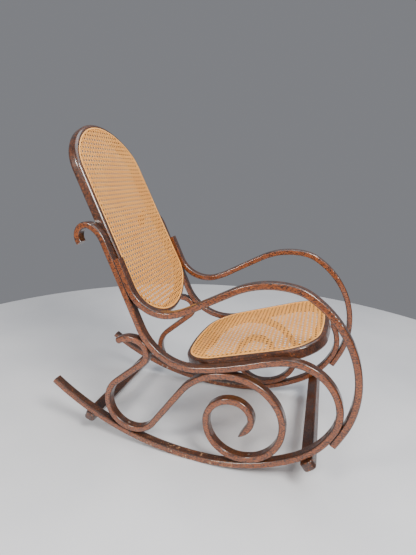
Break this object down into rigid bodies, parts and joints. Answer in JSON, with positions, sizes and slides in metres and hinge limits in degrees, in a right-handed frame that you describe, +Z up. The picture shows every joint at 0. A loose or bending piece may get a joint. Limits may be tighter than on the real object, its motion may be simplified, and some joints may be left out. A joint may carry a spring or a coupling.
{
  "type": "rocking chair",
  "caption": "Bentwood rocking chair with scrolled side frames, curved arms and a woven cane back and seat.",
  "frame": {"origin": "centre of the chair's box, on the floor it stands on", "axes": "+X to the front, +Y to the sitter's left, +Z up; the side frames mirror each other about the plane Y = 0"},
  "size_m": [0.9857, 0.554, 1.0218],
  "materials": {
    "bentwood": "gloss",
    "cane": "satin",
    "spline": "satin",
    "screws": "satin"
  },
  "bodies": {
    "root": {"side_rod_right": "bentwood", "side_rod_left": "bentwood", "runner_tail_right": "bentwood", "runner_tail_left": "bentwood", "arm_right": "bentwood", "arm_left": "bentwood", "scroll_right": "bentwood", "scroll_left": "bentwood", "front_stretcher": "bentwood", "rear_stretcher": "bentwood", "back_frame": "bentwood", "back_cane": "cane", "back_spline": "spline", "seat_frame": "bentwood", "seat_cane": "cane", "seat_spline": "spline", "rod_screws": "screws", "stretcher_screws": "screws", "ring_screws": "screws", "splice_screws": "screws"}
  },
  "joints": []
}
